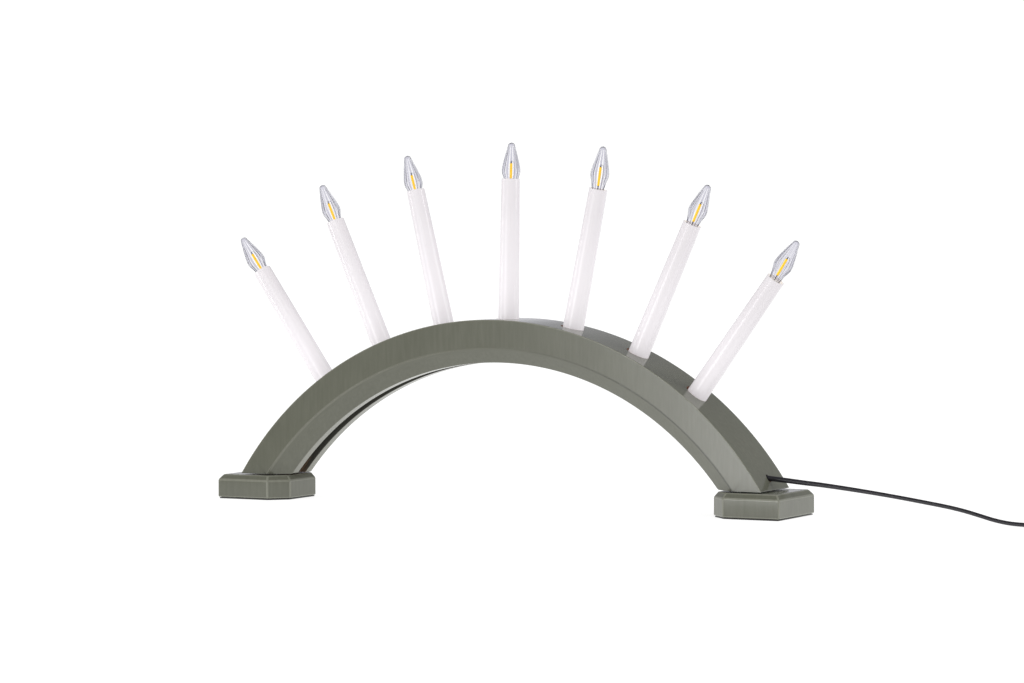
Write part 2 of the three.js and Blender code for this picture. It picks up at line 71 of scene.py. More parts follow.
# Feet and pads
pad_height = 0.001
pad_inset = 0.001
pad_soft_edge = 0.0003
foot_top = 0.0202
foot_depth = 0.069
foot_corner = 0.014
foot_slope = 0.0035
foot_slope_height = 0.0043
foot_margin_out = 0.0177
foot_margin_in = 0.0018
foot_soft_edge = 0.001
bow_end = foot_top + gap
bow_end_outer = math.sqrt(bow_radius ** 2 - (bow_end - bow_centre) ** 2)
bow_end_inner = math.sqrt(inner_radius ** 2 - (bow_end - bow_centre) ** 2)
foot_outer = bow_end_outer + foot_margin_out
foot_inner = bow_end_inner - foot_margin_in

# Bulb, from the end of its cap up
glass_radius = 0.0079
glass_wall = 0.0005
cap_height = 0.0097
neck_height = 0.0074
shoulder_height = 0.0064
flame_height = 0.0224
cap_radius = 0.0047
collar_height = 0.0011
collar_soft_edge = 0.0003
neck_radius = cap_radius - gap
glass_bottom = cap_height + gap
rim_height = glass_bottom + neck_height
widest_height = rim_height + shoulder_height
bulb_length = widest_height + flame_height
flutes = 14
flute_columns = 4
flute_depth = 0.0006
flute_rows = 3
flute_smoothing = 1.5
tip_height = flame_height * 0.14

# Flame above its widest place: share of its radius there, and share of its height
flame_shares = [(0.74, 0.45), (0.39, 0.87), (0.26, 0.96)]

# Coated stick in the bulb and its wires
stick_radius = 0.00098
stick_foot = 0.0045
stick_rise = 0.0056
stick_tip = 0.0007
lead_radius = 0.0003
wire_radius = 0.00012
wire_rise = 0.0023
stick_bottom = glass_bottom + stick_foot
stick_top = widest_height + stick_rise
wire_top = stick_top + wire_rise
wire_aside = glass_radius * 0.36

# Sleeve, lampholder and sprung contact
sleeve_height = 0.1134
sleeve_top_radius = 0.0074
sleeve_foot_radius = sleeve_top_radius * 1.15
sleeve_wall = 0.0007
sleeve_bore = sleeve_top_radius - sleeve_wall
sleeve_straight = sleeve_height * 0.4
sleeve_sunk = bow_band * 0.43
sleeve_soft_edge = 0.00025
hole_play = 0.0011
hole_radius = sleeve_foot_radius + hole_play
hole_aside = 0.0008
wire_hole_radius = 0.003
holder_radius = sleeve_bore - gap
holder_play = 0.00005
holder_base = 0.003
holder_bore = cap_radius + gap + holder_play
holder_top = cap_height - collar_height - gap
contact_head = 0.001
holder_floor = -(contact_head + 2 * gap)
holder_bottom = holder_floor - holder_base
holder_middle = (holder_bottom + holder_top) / 2
holder_reach = holder_top - holder_middle
contact_radius = 0.0022
contact_tail = 0.0024
contact_end = holder_bottom - contact_tail
pin_radius = 0.001
pin_play = 0.0004
pin_hole = pin_radius + pin_play
solder_height = 0.0004
thread_pitch = 0.001814
thread_height = 0.00025
thread_sunk = 0.0001
round_steps = 64

# Row of candles, left to right: place counted from the middle, lean of the sleeve and tilt of the bulb
# in degrees, and how far the bulb sits above its deepest place
candle_pitch = 12.35
candle_row_shift = 0.3
candles = [
    (-3.01, 2.5, -0.8, 0.0045),
    (-2, 0.9, 0, 0.0036),
    (-1, -1.2, -1.8, 0.0006),
    (0, 0.8, 0.5, 0.0002),
    (0.98, -0.9, -3, 0.0054),
    (2, -0.5, 0.3, 0.0048),
    (3, -1, -3.5, 0.0061),
]

# Wiring in the groove
loom_arc = inner_radius + groove_depth / 2
loom_wire = 0.00075
branch_wire = 0.0005
loom_overrun = 0.004
loom_steps = 60

# Cord: diameter, its swell where it leaves the bow, and the axis of its hole above the right foot
cord_diameter = 0.0032
cord_radius = cord_diameter / 2
cord_swell = 0.3
cord_swell_reach = 0.1
cord_hole_radius = cord_radius * (1 + cord_swell) + 2 * gap
cord_fall = 0.0029
cord_rise = 0.01
cord_hidden = 0.012

# Route of the free cord: distance to the right of its exit, and height above the table
cord_route = [
    (0.016, 0.0289), (0.0305, 0.0276), (0.045, 0.0264), (0.0665, 0.0242), (0.088, 0.0217),
    (0.109, 0.019), (0.13, 0.016), (0.1485, 0.0132), (0.1625, 0.0105), (0.175, 0.0074),
    (0.1865, 0.0045), (0.1985, 0.0025), (0.2125, 0.0018), (0.2265, 0.0022),
]

# Coil of the rest of the cord, its tie, and the tail to the plug
coil_reach = 0.245
coil_middle = cord_diameter * 6
coil_layers = 4
coil_turns = 3
coil_play = 0.00055
coil_step = cord_diameter + coil_play
coil_outer = coil_middle + coil_step * coil_turns / 2
coil_inner = coil_middle - coil_step * coil_turns / 2
coil_points = 30
turn_length = 2 * math.pi * coil_middle
tie_thickness = 0.0008
tie_width = 0.005
tie_corner = 0.0014
tie_soft_edge = 0.00015
coil_height = tie_thickness + gap + cord_radius
tail_straight = 0.015
tail_fall = 0.036

# Two-pin plug, lying flat beside the coil
plug_length = 0.044
plug_width = 0.026
plug_height = 0.0137
plug_straight = 0.013
plug_nose = 0.01
plug_soft_edge = 0.0022
hollow_margin = 0.0022
hollow_edge = 0.001
hollow_depth = 0.0005
boot_length = 0.02
boot_radius = 0.0029
boot_end_radius = plug_nose * 0.42
boot_ribs = 6
boot_soft_edge = 0.00018
rib_depth = 0.0006
rib_shares = (0.62, 0.68, 0.95)
cord_in_boot = 0.008
plug_pin_radius = 0.002
plug_pin_length = 0.019
plug_pin_apart = 0.0186
pin_sleeve = 0.009
pin_sleeve_step = 0.00012
pin_sleeve_slope = 0.0002
pin_point = 0.0022
pin_point_end = 0.0008

# Camera at the photograph's angle; lens and sensor in millimetres
camera_azimuth = math.radians(27.9)
camera_elevation = math.radians(2.156)
camera_roll = math.radians(-0.143)
camera_distance = 3.017
camera_target = Vector((0.00446, 0, 0.13365))
camera_lens = 131.19
camera_sensor = 36

# White table under it
table_width = 4
table_front = -0.24
table_back = 3

# Walls of glass that a ray passes through, enough for all the bulbs in one line
glass_walls_in_line = 40

# Upright strips of light in front, left to right: the first one's place, and the power of each in watts
strip_first = -1.05
strip_front = -2.3
strip_middle = 0.15
strip_width = 0.15
strip_height = 1.2
strip_powers = (0.65, 2, 3.8, 4.6)

# Other softboxes: name, place, what it points at, width, height and power in watts
softboxes = [
    ("left", (-2.03, -0.86, 0.25), (0, 0, 0.25), 0.35, 1, 6),
    ("right", (1.9, 0.55, 1), (0, 0, 0.1), 0.35, 1, 7),
    ("high", (-0.2, -2, 1.45), (0, 0, 0.1), 2, 0.3, 4),
    ("overhead", (0.9, -1, 2.2), (0, 0, 0.1), 0.5, 0.5, 1.5),
]

# Even light of the room from its left and right, what gloss mirrors of the front, what shows through
# clear pieces, and the backdrop that the camera sees
room_colour = (1, 0.995, 0.98)
room_left = 0.88
room_right = 1.06
front_mirrored = 0.12
clear_colour = (0.94, 0.93, 1)
clear_strength = 0.92
backdrop_seen = 1.1

# Backdrop as gloss mirrors it, from the table up: height of the ray, and shade
backdrop_shades = [
    (0, (0.9, 0.9, 0.93)), (0.1, (0.68, 0.68, 0.7276)), (0.165, (0.47, 0.47, 0.5029)),
    (0.22, (0.43, 0.43, 0.4601)), (0.28, (0.36, 0.36, 0.3852)), (0.34, (0.31, 0.31, 0.3317)),
    (0.42, (0.22, 0.22, 0.2354)), (0.46, (0.15, 0.15, 0.16)),
]

# Colours, in pairs where a finish varies between two
paint_colours = (0.101, 0.1035, 0.08), (0.118, 0.121, 0.095)
# Edge colours are paler paint on rounded edges and lips: a painted highlight
edge_highlight_colours = (0.165, 0.167, 0.135), (0.19, 0.193, 0.158)
# Groove colours: painted shade of the recess, and the bare brown wood of the groove
groove_shade_and_wood_colours = (0.045, 0.045, 0.035), (0.27, 0.165, 0.095)
wood_colours = (0.16, 0.075, 0.045), (0.3, 0.16, 0.1)
sleeve_colours = (0.695, 0.665, 0.695), (0.722, 0.695, 0.722)
inside_colours = (0.82, 0.79, 0.77), (0.86, 0.83, 0.81)
ivory_colours = (0.86, 0.82, 0.74), (0.91, 0.88, 0.81)
coating_colours = (0.95, 0.57, 0.03), (1, 0.66, 0.04)
black_colours = (0.008, 0.007, 0.011), (0.016, 0.015, 0.021)
felt_colours = (0.012, 0.012, 0.011), (0.035, 0.034, 0.03)
white = (1, 1, 1)
# Glass edge: painted grey shade of glass seen edge on, and of its darkened reflections; glass tints:
# clear ridges as painted highlights, lavender flutes as painted shade
glass_edge_shade = (0.5, 0.5, 0.54)
glass_ridge_highlight_tints = (0.995, 0.995, 0.995), (0.868, 0.865, 0.892)

# Painted highlight and painted shade along the crease of the bow, pale on its left and dark on its
# right, from the left end of the bow to the right: share of the way, and colour
crease_highlight_to_shade = [
    (0.2, (0.15, 0.152, 0.122)), (0.45, (0.115, 0.117, 0.09)), (0.55, (0.105, 0.107, 0.082)),
    (0.85, (0.058, 0.059, 0.047)),
]


# Places


def bow_point(radius, height):
    """Point on the right half of a circle of the bow, at a height above the table."""
    return Vector((math.sqrt(radius ** 2 - (height - bow_centre) ** 2), 0, height))


def on_bow(radius, angle, y=0):
    return Vector((radius * math.sin(angle), y, bow_centre + radius * math.cos(angle)))


def candle_angle(place):
    return math.radians(candle_pitch * place + candle_row_shift)


def candle_place(candle):
    place, lean, _, _ = candle
    angle = candle_angle(place)
    turn = Matrix.Rotation(angle + math.radians(lean), 4, "Y")
    return Matrix.Translation(on_bow(bow_radius, angle)) @ turn


def bulb_place(candle):
    """A lampholder and its bulb tilt in the sleeve about the middle of the lampholder."""
    _, _, tilt, lift = candle
    seat = sleeve_height - rim_height + lift + holder_middle
    turn = Matrix.Rotation(math.radians(tilt), 4, "Y")
    lower = Matrix.Translation((0, 0, -holder_middle))
    return candle_place(candle) @ Matrix.Translation((0, 0, seat)) @ turn @ lower


def smooth_line(points, steps):
    """Points on a smooth curve through the given ones, with a number of steps between each two."""
    knots = [Vector(point) for point in points]
    knots = [2 * knots[0] - knots[1], *knots, 2 * knots[-1] - knots[-2]]
    line = []
    for a, b, c, d in zip(knots, knots[1:], knots[2:], knots[3:]):
        for step in range(steps):
            t = step / steps
            bend = (2 * a - 5 * b + 4 * c - d) * t ** 2 + (3 * b - a - 3 * c + d) * t ** 3
            line.append(b + ((c - a) * t + bend) / 2)
    line.append(knots[-2])
    return line


cord_exit = bow_point(bow_radius, foot_top + cord_rise)
cord_inlet = bow_point(loom_arc, cord_exit.z + cord_fall)
cord_axis = (cord_exit - cord_inlet).normalized()
coil_start = Vector((cord_exit.x + coil_reach, 0, coil_height))
plug_start = coil_start.x + cord_diameter + tail_straight + tail_fall + cord_diameter + gap


# Ways of working


def named(name):
    """The active piece, under a name."""
    piece = bpy.context.active_object
    piece.name = name
    piece.data.name = name
    return piece


def start(name, add, **settings):
    """A new primitive, alone in the selection."""
    bpy.ops.object.select_all(action="DESELECT")
    add(**settings)
    return named(name)


def edit():
    bpy.ops.object.mode_set(mode="EDIT")


def done():
    bpy.ops.object.mode_set(mode="OBJECT")


def only(piece):
    bpy.ops.object.select_all(action="DESELECT")
    piece.select_set(True)
    bpy.context.view_layer.objects.active = piece


def pick_all():
    bpy.ops.mesh.select_all(action="SELECT")


def pick(piece, kind, wanted):
    """Selects the wanted faces or points, and leaves the piece in edit mode."""
    edit()
    bpy.ops.mesh.select_mode(type=kind)
    bpy.ops.mesh.select_all(action="DESELECT")
    done()
    for part in piece.data.polygons if kind == "FACE" else piece.data.vertices:
        part.select = wanted(part)
    edit()


def outline(name, points):
    """One vertex drawn out from point to point; the piece is left in edit mode."""
    piece = start(name, bpy.ops.mesh.primitive_plane_add, size=bow_band)
    edit()
    bpy.ops.mesh.select_mode(type="VERT")
    bpy.ops.mesh.merge(type="CENTER")
    bpy.ops.transform.translate(value=points[0])
    for here, there in zip(points, points[1:]):
        draw_out(Vector(there) - Vector(here))
    return piece


def weld():
    pick_all()
    bpy.ops.mesh.remove_doubles(threshold=same_point)


def close_seams():
    weld()
    bpy.ops.mesh.normals_make_consistent(inside=False)
    done()


def draw_out(way):
    bpy.ops.mesh.extrude_region_move(TRANSFORM_OT_translate={"value": way})


def prism(name, plan, way):
    """A closed outline, filled and drawn out one way."""
    piece = outline(name, plan)
    weld()
    bpy.ops.mesh.edge_face_add()
    draw_out(way)
    close_seams()
    return piece


def turned(name, profile, steps=round_steps):
    """A piece spun about Z from [radius, height] pairs."""
    piece = outline(name, [(radius, 0, height) for radius, height in profile])
    pick_all()
    bpy.ops.mesh.spin(steps=steps, angle=-2 * math.pi, center=(0, 0, 0), axis=(0, 0, 1))
    close_seams()
    return piece


def apply(piece, kind, **settings):
    only(piece)
    modifier = piece.modifiers.new(kind.title(), kind)
    for name, value in settings.items():
        setattr(modifier, name, value)
    bpy.ops.object.modifier_apply(modifier=modifier.name)


def soften(piece, width, segments=3, angle=25, **settings):
    """Rounds off the edges that are sharper than an angle."""
    limit = math.radians(angle)
    apply(piece, "BEVEL", width=width, segments=segments, limit_method="ANGLE", angle_limit=limit,
          **settings)


def smooth(piece, angle=35):
    only(piece)
    bpy.ops.object.shade_smooth_by_angle(angle=math.radians(angle))


def smooth_edges(piece):
    """Smooths the rounded edges, and leaves the flat faces between them flat."""
    smooth(piece)
    apply(piece, "WEIGHTED_NORMAL", weight=100, keep_sharp=True)


def copy_of(piece, name):
    only(piece)
    bpy.ops.object.duplicate()
    return named(name)


def put(piece, place):
    """Turns and moves a piece, and leaves its object at the origin with its place in its mesh."""
    only(piece)
    piece.matrix_world = place
    bpy.ops.object.transform_apply(location=True, rotation=True, scale=True)
    return piece


def joined(name, pieces):
    only(pieces[0])
    for piece in pieces[1:]:
        piece.select_set(True)
    bpy.ops.object.join()
    return named(name)


def cut(piece, cutter):
    apply(piece, "BOOLEAN", object=cutter, operation="DIFFERENCE", solver="EXACT",
          material_mode="TRANSFER")
    bpy.data.objects.remove(cutter)


def stroke(name, lines, radius, ring=3):
    """Round wires along lines of points; returned as a curve."""
    curve = bpy.data.curves.new(name, "CURVE")
    curve.dimensions = "3D"
    curve.bevel_depth = radius
    curve.bevel_resolution = ring
    curve.use_fill_caps = True
    for line in lines:
        spline = curve.splines.new("POLY")
        spline.points.add(len(line) - 1)
        for knot, point in zip(spline.points, line):
            knot.co = (*point, 1)
    piece = bpy.data.objects.new(name, curve)
    bpy.context.collection.objects.link(piece)
    return piece


def as_mesh(piece):
    only(piece)
    bpy.ops.object.convert(target="MESH")
    return bpy.context.active_object


def paint_with(piece, *finishes, which=None):
    """Paints a piece; which gives the number of a face's own finish, where they differ."""
    piece.data.materials.clear()
    for finish in finishes:
        piece.data.materials.append(finish)
    for face in piece.data.polygons if which else []:
        face.material_index = int(which(face))


def fit(piece, slot, *nodes, body="arch_body"):
    """Hangs a finished piece on its body, in place of its solids."""
    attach(piece, body)
    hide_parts(*nodes)
    return piece


# Materials


def add_node(tree, kind, values=None, **settings):
    """A shader node with its settings, and with values or links at its inputs."""
    made = tree.nodes.new(kind)
    for name, value in settings.items():
        setattr(made, name, value)
    for name, value in (values or {}).items():
        if isinstance(value, bpy.types.NodeSocket):
            tree.links.new(value, made.inputs[name])
        else:
            made.inputs[name].default_value = value
    return made


def bare_finish(name):
    finish = bpy.data.materials.new(name)
    finish.use_nodes = True
    finish.node_tree.nodes.clear()
    return finish, finish.node_tree


def new_finish(name, values):
    """A material with one shader, and that shader and its Object coordinates."""
    finish, tree = bare_finish(name)
    shader = add_node(tree, "ShaderNodeBsdfPrincipled", values)
    add_node(tree, "ShaderNodeOutputMaterial", {"Surface": shader.outputs[0]})
    spot = add_node(tree, "ShaderNodeTexCoord").outputs["Object"]
    return finish, shader, spot


def attribute(tree, name):
    """What a piece stores at its points under a name."""
    return add_node(tree, "ShaderNodeAttribute", attribute_name=name)


def stretched(spot, scale):
    return add_node(spot.id_data, "ShaderNodeMapping", {"Vector": spot, "Scale": scale}).outputs[0]


def noise(spot, scale, detail=3, roughness=0.5):
    values = {"Vector": spot, "Scale": scale, "Detail": detail, "Roughness": roughness}
    return add_node(spot.id_data, "ShaderNodeTexNoise", values).outputs["Fac"]


def streaks(spot, scale, detail=3, roughness=0.5):
    """Noise with its own scale along each axis."""
    return noise(stretched(spot, scale), 1, detail, roughness)


def between(share, low, high, start_at=0.3, end_at=0.7):
    """A value that runs from low to high as the share does from start_at to end_at."""
    values = {"Value": share, "From Min": start_at, "From Max": end_at, "To Min": low, "To Max": high}
    return add_node(share.id_data, "ShaderNodeMapRange", values).outputs[0]


def shades(share, stops):
    """A colour that runs through stops of place and colour as the share does."""
    ramp = add_node(share.id_data, "ShaderNodeValToRGB", {"Fac": share})
    steps = ramp.color_ramp.elements
    for step, (place, colour) in zip(steps, (stops[0], stops[-1])):
        step.position = place
        step.color = (*colour, 1)
    for place, colour in stops[1:-1]:
        steps.new(place).color = (*colour, 1)
    return ramp.outputs[0]


def blend_colour(share, colours, start_at=0.3, end_at=0.7):
    return shades(share, list(zip((start_at, end_at), colours)))


def mix_colour(share, first, second, kind="MIX"):
    values = {0: share, 6: first, 7: second}
    return add_node(first.id_data, "ShaderNodeMix", values, data_type="RGBA", blend_type=kind).outputs[2]


def axes(vector):
    return add_node(vector.id_data, "ShaderNodeSeparateXYZ", {"Vector": vector}).outputs


def link(source, node, name):
    node.id_data.links.new(source, node.inputs[name])


def base_colour(shader, *blend):
    link(blend_colour(*blend), shader, "Base Color")


def bump(shader, height, strength, distance):
    values = {"Height": height, "Strength": strength, "Distance": distance}
    link(add_node(height.id_data, "ShaderNodeBump", values).outputs[0], shader, "Normal")


def mixed(kind, a, b):
    return add_node(a.id_data, "ShaderNodeMath", {0: a, 1: b}, operation=kind).outputs[0]


def weighed(first, second, share):
    """A share of the first value, and the rest of the second."""
    rest = mixed("MULTIPLY", second, 1 - share)
    return mixed("ADD", mixed("MULTIPLY", first, share), rest)


def choose(share, first, second):
    return add_node(share.id_data, "ShaderNodeMixShader", {"Fac": share, 1: first, 2: second}).outputs[0]


def along_bow(spot):
    """Coordinates that run along the bow, across its depth and out from its centre."""
    parts = axes(spot)
    up = mixed("SUBTRACT", parts["Z"], bow_centre)
    angle = mixed("ARCTAN2", parts["X"], up)
    run = mixed("MULTIPLY", angle, bow_radius)
    square = mixed("ADD", mixed("POWER", parts["X"], 2), mixed("POWER", up, 2))
    values = {"X": run, "Y": parts["Y"], "Z": mixed("SQRT", square, 0)}
    return add_node(spot.id_data, "ShaderNodeCombineXYZ", values).outputs[0]


def satin_paint(name, colours, smoothest=0.15, roughest=0.2):
    """Satin paint: brush marks along the bow, faint upright grain, and patches of gloss."""
    finish, shader, spot = new_finish(name, {"Specular IOR Level": 0.5})
    brushed = streaks(along_bow(spot), (22, 700, 900), 4, 0.6)
    grain = streaks(spot, (420, 420, 45), 3, 0.6)
    cloud = noise(spot, 16, 3)
    base_colour(shader, weighed(grain, cloud, 0.6), colours, 0.35, 0.65)
    link(between(brushed, smoothest, roughest), shader, "Roughness")
    bump(shader, mixed("ADD", brushed, grain), 0.04, 0.0002)
    return finish


def crease_light_and_shade():
    """Paint along the crease of the bow with a painted highlight, pale on its left half, and a painted
    shade, dark on its right.
    """
    values = {"Specular IOR Level": 0.5, "Roughness": 0.2}
    finish, shader, spot = new_finish("crease_light_and_shade", values)
    across = axes(spot)["X"]
    bow_way = along_bow(stretched(spot, (1 / crease_spread, 1, 1)))
    crease_streaks = streaks(bow_way, (60, 900, 900), 3, 0.6)
    way_along = between(across, 0, 1, -0.22, 0.22)
    place = mixed("ADD", way_along, between(crease_streaks, -0.06, 0.06))
    out = axes(bow_way)["Z"]
    away = mixed("ABSOLUTE", mixed("SUBTRACT", out, inner_radius + slope_band), 0)
    near = between(away, 1, 0, 0.0003, crease_above)
    plain = blend_colour(crease_streaks, paint_colours)
    colour = mix_colour(near, plain, shades(place, crease_highlight_to_shade))
    link(colour, shader, "Base Color")
    bump(shader, crease_streaks, 0.1, 0.0002)
    return finish


def groove_shade_and_wood():
    """Thinly painted wood in the wiring groove, darkened with painted shade of the recess, bare and
    brown near the left foot.
    """
    finish, shader, spot = new_finish("groove_shade_and_wood", {"Roughness": 0.7})
    grain = streaks(along_bow(spot), (30, 900, 900), 4, 0.65)
    share = weighed(grain, noise(spot, 38, 2), 0.4)
    bare = mixed("ADD", share, between(axes(spot)["X"], 0.16, -0.1, -0.21, -0.185))
    base_colour(shader, bare, groove_shade_and_wood_colours, 0.52, 0.75)
    bump(shader, grain, 0.3, 0.0003)
    return finish


def drilled_wood():
    """Bare reddish wood in the drilled holes."""
    finish, shader, spot = new_finish("drilled_wood", {"Roughness": 0.75})
    grain = streaks(along_bow(spot), (60, 1100, 1100), 4, 0.6)
    base_colour(shader, grain, wood_colours)
    bump(shader, grain, 0.35, 0.0003)
    return finish


def moulded_plastic(name, colours, glow=0, foot_glow=0):
    """Pale plastic with a soft gloss and faint flow lines; the glow is painted light, an emission that
    stands in for light through the thin plastic, stronger at the foot to lift the shade of the bow
    there.
    """
    finish, shader, _ = new_finish(name, {"Specular IOR Level": 0.5})
    own = attribute(shader.id_data, "own_place").outputs["Vector"]
    flow = streaks(own, (170, 170, 12), 2)
    colour = blend_colour(flow, colours)
    link(colour, shader, "Base Color")
    link(colour, shader, "Emission Color")
    up = axes(own)["Z"]
    # Glow fades from the foot upward: painted light against the shade of the bow
    strength = between(up, glow + foot_glow, glow, 0, sleeve_height * 0.8)
    link(strength, shader, "Emission Strength")
    link(between(flow, 0.16, 0.28), shader, "Roughness")
    bump(shader, flow, 0.04, 0.0002)
    return finish


def bulb_clear_glass():
    """Thin glass: a lavender tint in its flutes and clear ridges, painted in place of the dimming and
    bright lines of a fluted wall, and painted grey shade where it is seen edge on.
    """
    finish, tree = bare_finish("bulb_clear_glass")
    flute = attribute(tree, "flute").outputs["Fac"]
    slant = add_node(tree, "ShaderNodeLayerWeight", {"Blend": 0.3}).outputs["Facing"]
    ridge = mixed("SUBTRACT", flute, between(slant, 0, 0.5, 0.1, 0.45))
    tint = blend_colour(ridge, glass_ridge_highlight_tints, 0.1, 0.32)
    shade = blend_colour(slant, (white, glass_edge_shade), 0.5, 0.78)
    both = mix_colour(1, tint, shade, "MULTIPLY")
    through = add_node(tree, "ShaderNodeBsdfTransparent", {"Color": both}).outputs[0]
    # Reflections in grey, a painted shade that draws the outline
    values = {"Color": (*glass_edge_shade, 1), "Roughness": 0.03}
    gloss = add_node(tree, "ShaderNodeBsdfGlossy", values).outputs[0]
    mirror = add_node(tree, "ShaderNodeFresnel", {"IOR": 1.1}).outputs[0]
    add_node(tree, "ShaderNodeOutputMaterial", {"Surface": choose(mirror, through, gloss)})
    return finish


def stick_coating():
    """Yellow coating with the faint dots of the chips under it, and a painted glow that keeps it bright
    though the bulb is unlit.
    """
    values = {"Roughness": 0.5, "Emission Strength": 0.45}
    finish, shader, spot = new_finish("stick_coating", values)
    chips = noise(spot, 1300, 1)
    colour = blend_colour(chips, coating_colours)
    link(colour, shader, "Base Color")
    link(colour, shader, "Emission Color")
    bump(shader, chips, 0.2, 0.0001)
    return finish


def plated_metal(name, colour, roughness):
    """Bare or plated metal with fine drawing marks."""
    finish, shader, spot = new_finish(name, {"Metallic": 1.0})
    marks = streaks(spot, (900, 900, 3500), 3)
    low = tuple(0.82 * part for part in colour)
    base_colour(shader, marks, (low, colour))
    link(between(marks, roughness * 0.75, roughness * 1.3), shader, "Roughness")
    bump(shader, marks, 0.05, 0.0001)
    return finish


def black_plastic(name, roughness, scale):
    """Black moulded plastic or cord sheath with a fine skin texture."""
    finish, shader, spot = new_finish(name, {"Coat Weight": 0.1, "Coat Roughness": 0.25})
    skin = noise(spot, scale, 3)
    base_colour(shader, skin, black_colours)
    link(between(skin, roughness * 0.85, roughness * 1.2), shader, "Roughness")
    bump(shader, skin, 0.12, 0.0001)
    return finish


def felt():
    finish, shader, spot = new_finish("felt", {"Roughness": 0.95, "Sheen Weight": 0.4})
    fibres = noise(spot, 2600, 4, 0.7)
    base_colour(shader, fibres, felt_colours)
    bump(shader, fibres, 0.6, 0.0004)
    return finish


paint = satin_paint("satin_paint", paint_colours)
top_paint = satin_paint("top_paint", paint_colours, 0.08, 0.12)
# Painted highlight on rounded edges
edge_highlight_paint = satin_paint("edge_highlight_paint", edge_highlight_colours)
# Crease finish: painted highlight on the left of the bow, painted shade on the right
crease_light_shade_finish = crease_light_and_shade()
groove_shade_and_wood_finish = groove_shade_and_wood()
bare_wood = drilled_wood()
# Sleeve insides, sleeves and lampholders glow with painted light though they are no lamps
inside_plastic = moulded_plastic("sleeve_inside", inside_colours, 0.35)
white_plastic = moulded_plastic("sleeve_plastic", sleeve_colours, 0, 0.22)
ivory_plastic = moulded_plastic("holder_plastic", ivory_colours, 0.2)
glass = bulb_clear_glass()
coating = stick_coating()
nickel = plated_metal("nickel_plate", (0.88, 0.86, 0.82), 0.45)
brass = plated_metal("brass", (0.72, 0.56, 0.3), 0.3)
steel = plated_metal("plain_steel", (0.58, 0.58, 0.58), 0.35)
dark_wire = plated_metal("dark_wire", (0.1, 0.095, 0.1), 0.4)
cord_sheath = black_plastic("cord_sheath", 0.38, 900)
plug_moulding = black_plastic("plug_moulding", 0.45, 1600)
pad_felt = felt()


# Camera, light and floor


def set_camera():
    turn = Matrix.Rotation(camera_azimuth, 4, "Z")
    turn = turn @ Matrix.Rotation(math.pi / 2 - camera_elevation, 4, "X")
    back = turn @ Vector((0, 0, camera_distance))
    turn = turn @ Matrix.Rotation(camera_roll, 4, "Z")
    bpy.ops.object.camera_add(location=camera_target + back, rotation=turn.to_euler())
    camera = bpy.context.active_object
    camera.data.sensor_width = camera_sensor
    camera.data.lens = camera_lens
    bpy.context.scene.camera = camera


def softbox(name, place, target, width, height, power):
    direction = Vector(target) - Vector(place)
    turn = direction.to_track_quat("-Z", "Y").to_euler()
    bpy.ops.object.light_add(type="AREA", location=place, rotation=turn)
    light = bpy.context.active_object
    light.name = name
    light.data.shape = "RECTANGLE"
    light.data.size = width
    light.data.size_y = height
    light.data.energy = power


def background(tree, colour, strength):
    values = {"Color": (*colour, 1), "Strength": strength}
    return add_node(tree, "ShaderNodeBackground", values).outputs[0]


def set_light():
    """A white backdrop that fades with height, an even soft room, and softboxes round it."""
    world = bpy.data.worlds.new("studio")
    bpy.context.scene.world = world
    world.use_nodes = True
    tree = world.node_tree
    tree.nodes.clear()
    path = add_node(tree, "ShaderNodeLightPath").outputs
    way = add_node(tree, "ShaderNodeTexCoord").outputs["Generated"]
    parts = axes(way)
    height = shades(parts["Z"], backdrop_shades)
    behind = between(parts["Y"], 0, 1, 0, 0.25)
    backdrop = add_node(tree, "ShaderNodeBackground", {"Color": height}).outputs[0]
    mirrored = choose(behind, background(tree, white, front_mirrored), backdrop)
    room = background(tree, room_colour, between(parts["X"], room_left, room_right, -1, 1))
    lit = choose(path["Is Glossy Ray"], room, mirrored)
    clear = choose(path["Is Transmission Ray"], lit, background(tree, clear_colour, clear_strength))
    surface = choose(path["Is Camera Ray"], clear, background(tree, white, backdrop_seen))
    add_node(tree, "ShaderNodeOutputWorld", {"Surface": surface})
    for number, power in enumerate(strip_powers):
        x = strip_first + strip_width * number
        place = (x, strip_front, strip_middle)
        softbox(f"front_{number}", place, (x, 0, strip_middle), strip_width, strip_height, power)
    for settings in softboxes:
        softbox(*settings)


def set_floor():
    """A lit white table."""
    floor = start("floor", bpy.ops.mesh.primitive_plane_add, size=1)
    edit()
    bpy.ops.transform.resize(value=(table_width, table_back - table_front, 1))
    bpy.ops.transform.translate(value=(0, (table_back + table_front) / 2, 0))
    done()
    values = {"Base Color": (0.3, 0.3, 0.3, 1), "Roughness": 0.9, "Specular IOR Level": 0.1,
              "Emission Color": (*white, 1), "Emission Strength": 0.8}
    floor.data.materials.append(new_finish("white_table", values)[0])


# Cord and what is on it


def coil_spot(run):
    """Point of the coiled cord at a distance along it: turns run in, climb and run out; a tail falls."""
    turns = coil_layers * coil_turns
    x = coil_start.x + cord_diameter
    if run < turns * turn_length:
        turn = run / turn_length
        nearest = min(max(round(turn / coil_turns), 1), coil_layers - 1)
        climb = min(max(2 * (turn - nearest * coil_turns) + 0.5, 0), 1)
        layer = nearest - 1 + climb * climb * (3 - 2 * climb)
        phase = turn % (2 * coil_turns)
        inward = phase if phase < coil_turns else 2 * coil_turns - phase
        radius = coil_outer - coil_step * inward
        angle = 2 * math.pi * turn - math.pi / 2
        y = coil_outer + radius * math.sin(angle)
        return Vector((x + radius * math.cos(angle), y, coil_height + layer * coil_step))
    along = run - turns * turn_length
    fall = min(max((along - tail_straight) / tail_fall, 0), 1)
    high = coil_height + (coil_layers - 1) * coil_step
    eased = 0.5 - 0.5 * math.cos(math.pi * fall)
    return Vector((x + along, 0, high + (plug_height / 2 - high) * eased))


